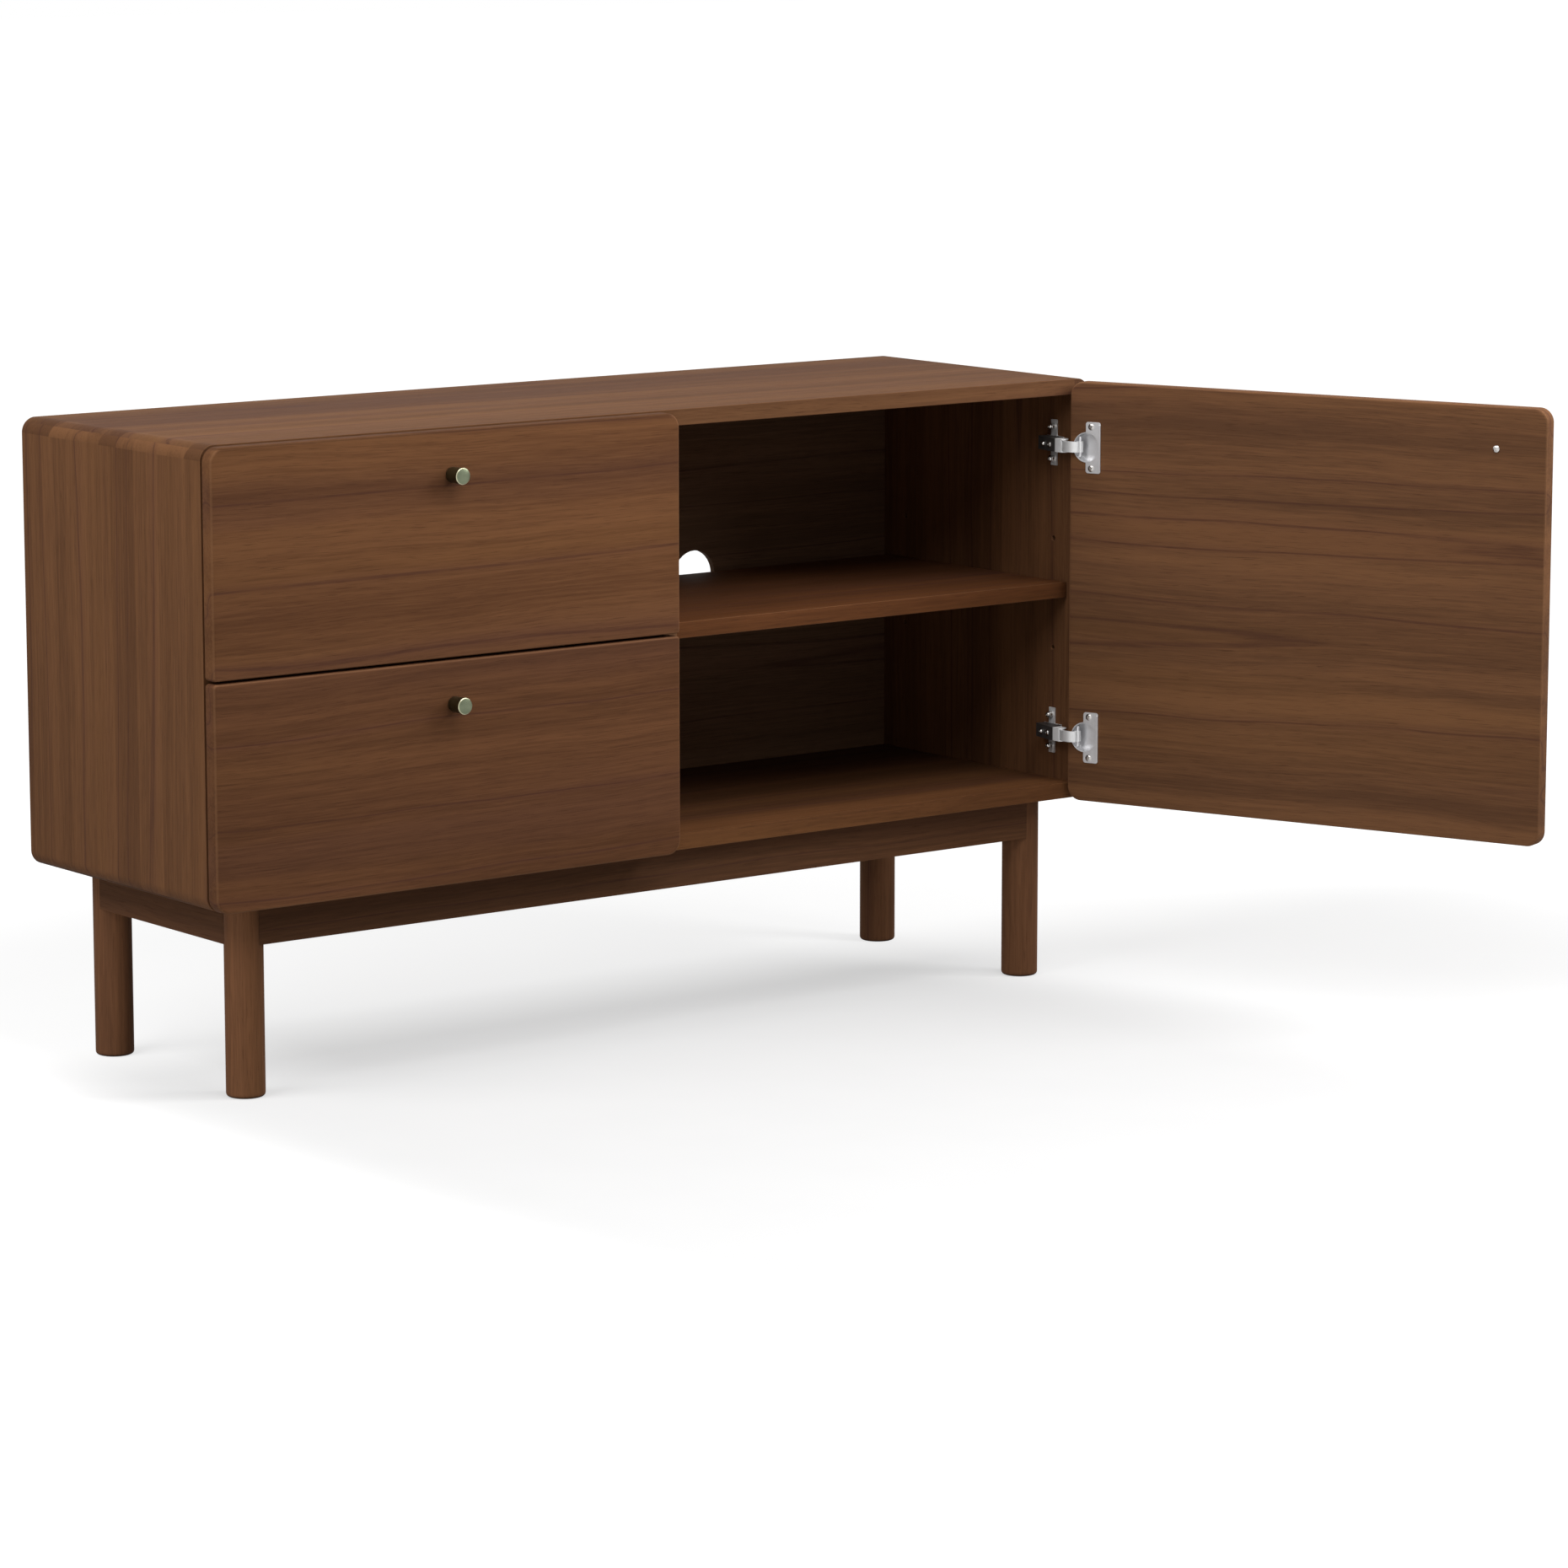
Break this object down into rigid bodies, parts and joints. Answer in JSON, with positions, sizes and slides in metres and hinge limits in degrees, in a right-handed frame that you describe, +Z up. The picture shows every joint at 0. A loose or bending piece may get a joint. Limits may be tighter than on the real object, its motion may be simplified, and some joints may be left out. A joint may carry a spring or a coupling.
{
  "type": "office credenza",
  "caption": "Low walnut office credenza on a round-legged frame: stacked drawers on telescopic runners beside a shelved cupboard whose door turns on concealed hinges.",
  "frame": {"origin": "on the floor, under the middle of the footprint with the door fully open, so the cabinet's own middle lies 96 mm towards -X and 285 mm towards +Y of it", "axes": "+X to the right seen from the front, -Y out of the front, +Z up"},
  "size_m": [1.3894, 0.9292, 0.697],
  "materials": {
    "walnut": "satin lacquered walnut veneer with solid lipping",
    "inner_walnut": "dark walnut veneer, matt",
    "drawer_wood": "clear lacquered light hardwood",
    "bright_nickel": "bright nickel plated steel",
    "runner_steel": "zinc plated rolled steel",
    "champagne_brass": "satin champagne brass"
  },
  "bodies": {
    "carcass": {"back_panel": "inner_walnut", "bottom_panel": "walnut", "centre_partition": "inner_walnut", "hinge_lower_arm": "bright_nickel", "hinge_lower_plate": "bright_nickel", "hinge_upper_arm": "bright_nickel", "hinge_upper_plate": "bright_nickel", "left_side_panel": "walnut", "leg_back_left": "walnut", "leg_back_right": "walnut", "leg_front_left": "walnut", "leg_front_right": "walnut", "lower_drawer_left_runner_cabinet_member": "runner_steel", "lower_drawer_right_runner_cabinet_member": "runner_steel", "rail_back": "walnut", "rail_front": "walnut", "rail_left": "walnut", "rail_right": "walnut", "right_side_panel": "walnut", "shelf": "walnut", "shelf_pin_left_back": "bright_nickel", "shelf_pin_left_front": "bright_nickel", "shelf_pin_right_back": "bright_nickel", "shelf_pin_right_front": "bright_nickel", "top_panel": "walnut", "upper_drawer_left_runner_cabinet_member": "runner_steel", "upper_drawer_right_runner_cabinet_member": "runner_steel"},
    "upper_drawer": {"upper_drawer_box_back": "drawer_wood", "upper_drawer_box_base": "drawer_wood", "upper_drawer_box_front": "drawer_wood", "upper_drawer_box_left": "drawer_wood", "upper_drawer_box_right": "drawer_wood", "upper_drawer_front": "walnut", "upper_drawer_knob": "champagne_brass", "upper_drawer_left_runner_drawer_member": "runner_steel", "upper_drawer_right_runner_drawer_member": "runner_steel"},
    "lower_drawer": {"lower_drawer_box_back": "drawer_wood", "lower_drawer_box_base": "drawer_wood", "lower_drawer_box_front": "drawer_wood", "lower_drawer_box_left": "drawer_wood", "lower_drawer_box_right": "drawer_wood", "lower_drawer_front": "walnut", "lower_drawer_knob": "champagne_brass", "lower_drawer_left_runner_drawer_member": "runner_steel", "lower_drawer_right_runner_drawer_member": "runner_steel"},
    "upper_runner": {"upper_drawer_left_runner_middle_member": "runner_steel", "upper_drawer_right_runner_middle_member": "runner_steel"},
    "lower_runner": {"lower_drawer_left_runner_middle_member": "runner_steel", "lower_drawer_right_runner_middle_member": "runner_steel"},
    "door": {"door_knob": "champagne_brass", "door_panel": "walnut", "hinge_lower_cup": "bright_nickel", "hinge_upper_cup": "bright_nickel"},
    "upper_hinge_link": {"hinge_upper_link": "bright_nickel"},
    "lower_hinge_link": {"hinge_lower_link": "bright_nickel"}
  },
  "joints": [
    {"name": "upper_drawer_slide", "type": "slide", "parent": "carcass", "child": "upper_drawer", "axis": [0, -1, 0], "range_m": [0, 0.28]},
    {"name": "upper_runner_slide", "type": "slide", "parent": "carcass", "child": "upper_runner", "axis": [0, -1, 0], "range_m": [0, 0.14]},
    {"name": "lower_drawer_slide", "type": "slide", "parent": "carcass", "child": "lower_drawer", "axis": [0, -1, 0], "range_m": [0, 0.28]},
    {"name": "lower_runner_slide", "type": "slide", "parent": "carcass", "child": "lower_runner", "axis": [0, -1, 0], "range_m": [0, 0.14]},
    {"name": "upper_link_turn", "type": "hinge", "parent": "carcass", "child": "upper_hinge_link", "pos_m": [0.4719, 0.1087, 0.6205], "axis": [0, 0, 1], "range_deg": [0, 52]},
    {"name": "door_swing", "type": "hinge", "parent": "upper_hinge_link", "child": "door", "pos_m": [0.47808, 0.0865, 0.6205], "axis": [0, 0, 1], "range_deg": [-162, 0]},
    {"name": "lower_link_turn", "type": "hinge", "parent": "carcass", "child": "lower_hinge_link", "pos_m": [0.4719, 0.1087, 0.284], "axis": [0, 0, 1], "range_deg": [0, 52]}
  ],
  "couplings": [
    {"joint": "upper_runner_slide", "follows": "upper_drawer_slide", "ratio": 0.5},
    {"joint": "lower_runner_slide", "follows": "lower_drawer_slide", "ratio": 0.5},
    {"joint": "upper_link_turn", "follows": "door_swing", "ratio": -0.32099},
    {"joint": "lower_link_turn", "follows": "door_swing", "ratio": -0.32099}
  ]
}
